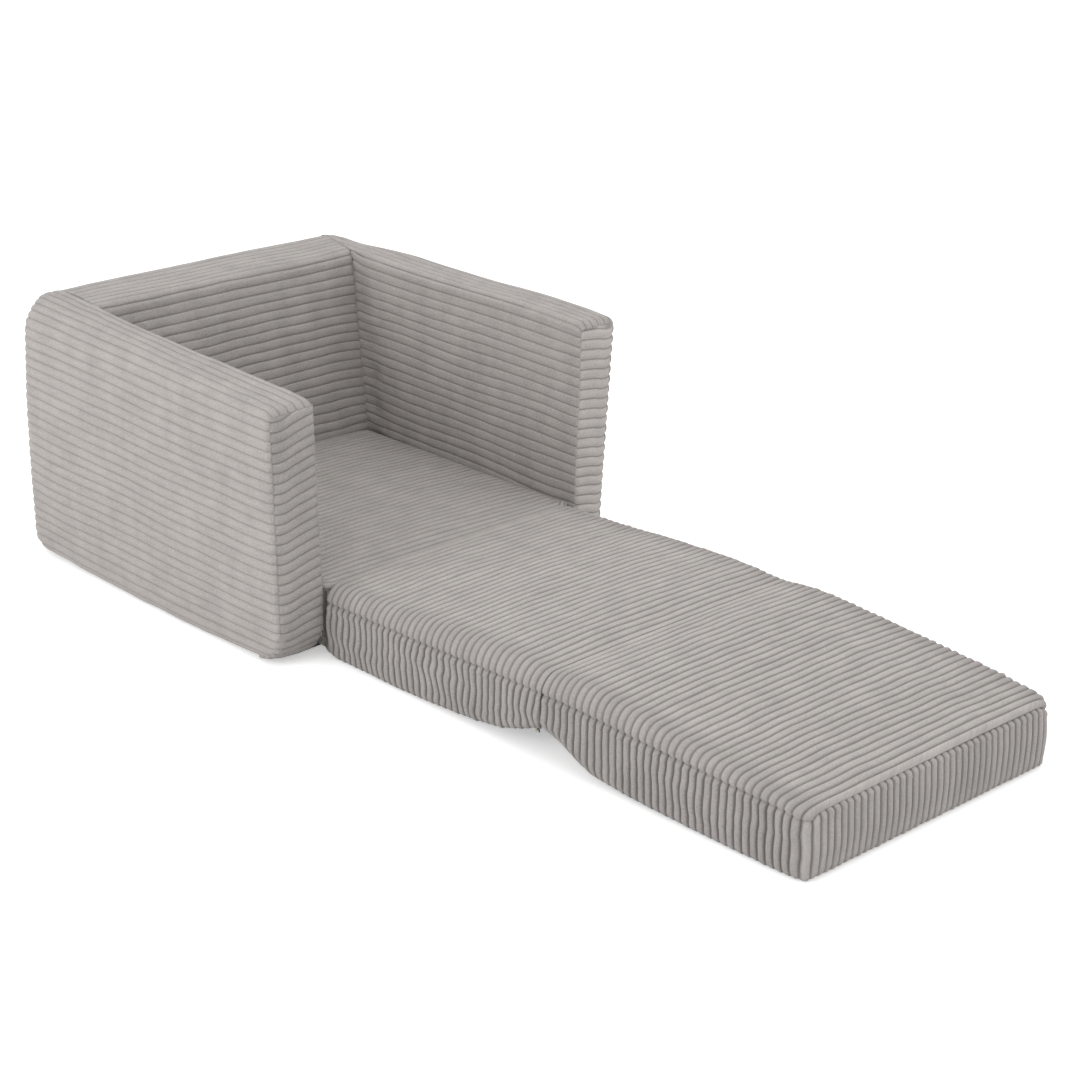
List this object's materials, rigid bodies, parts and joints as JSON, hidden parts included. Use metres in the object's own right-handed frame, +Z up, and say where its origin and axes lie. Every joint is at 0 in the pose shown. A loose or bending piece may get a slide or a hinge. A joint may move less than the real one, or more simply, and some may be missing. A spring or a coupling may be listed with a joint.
{
  "type": "kids flip open sofa",
  "caption": "Child's foam armchair sofa in wide-wale corduroy whose seat mattress unfolds onto the floor as a lounger and folds back like an accordion.",
  "frame": {"origin": "on the floor, under the middle of the whole length with the mattress laid open", "axes": "+Y from the mattress's free end to the sofa's back, +Z up, +X to the right seen from the mattress's free end"},
  "size_m": [0.551, 1.3446, 0.3544],
  "materials": {
    "foam": "open-cell polyurethane foam, off-white",
    "corduroy": "wide-wale plush corduroy, warm light grey",
    "corduroy_front": "wide-wale plush corduroy, warm light grey, sewn front panels",
    "corduroy_seat": "wide-wale plush corduroy, flattened pile on the seat",
    "corduroy_band": "wide-wale plush corduroy, wales upright round the pads",
    "fold_cloth": "plain woven reinforcing cloth in the corduroy's colour",
    "base_cloth": "matt non-slip cloth with small dots",
    "zip_tape": "woven polyester tape and coil",
    "zip_metal": "satin painted zinc slider"
  },
  "bodies": {
    "shell": {"back_foam": "foam", "left_arm_foam": "foam", "right_arm_foam": "foam", "seat_foam": "foam", "back_cover": "corduroy", "left_arm_cover": "corduroy", "right_arm_cover": "corduroy", "left_arm_front_panel": "corduroy_front", "right_arm_front_panel": "corduroy_front", "seat_top_cover": "corduroy_seat", "seat_front_band": "corduroy_band", "shell_base_cloth": "base_cloth", "shell_zip": "zip_tape", "seat_hinge_strip": "fold_cloth"},
    "middle_pad": {"middle_pad_foam": "foam", "middle_pad_top_cover": "corduroy_seat", "middle_pad_boxing": "corduroy_band", "middle_pad_base_cloth": "base_cloth", "middle_pad_zip": "zip_tape", "pad_hinge_strip": "fold_cloth"},
    "end_pad": {"end_pad_foam": "foam", "end_pad_top_cover": "corduroy_seat", "end_pad_boxing": "corduroy_band", "end_pad_base_cloth": "base_cloth", "end_pad_zip": "zip_tape"},
    "shell_zip_slider": {"shell_zip_slider": "zip_metal"},
    "middle_zip_slider": {"middle_pad_zip_slider": "zip_metal"},
    "end_zip_slider": {"end_pad_zip_slider": "zip_metal"}
  },
  "joints": [
    {"name": "seat_fold", "type": "hinge", "parent": "shell", "child": "middle_pad", "pos_m": [0, 0.0993, 0.097], "axis": [-1, 0, 0], "range_deg": [0, 178]},
    {"name": "pad_fold", "type": "hinge", "parent": "middle_pad", "child": "end_pad", "pos_m": [0, -0.287, 0.003], "axis": [-1, 0, 0], "range_deg": [-178, 0]},
    {"name": "shell_zip_slide", "type": "slide", "parent": "shell", "child": "shell_zip_slider", "axis": [-1, 0, 0], "range_m": [0, 0.3244]},
    {"name": "middle_zip_slide", "type": "slide", "parent": "middle_pad", "child": "middle_zip_slider", "axis": [-1, 0, 0], "range_m": [0, 0.3244]},
    {"name": "end_zip_slide", "type": "slide", "parent": "end_pad", "child": "end_zip_slider", "axis": [-1, 0, 0], "range_m": [0, 0.3244]}
  ],
  "couplings": [
    {"joint": "pad_fold", "follows": "seat_fold", "ratio": -1}
  ]
}
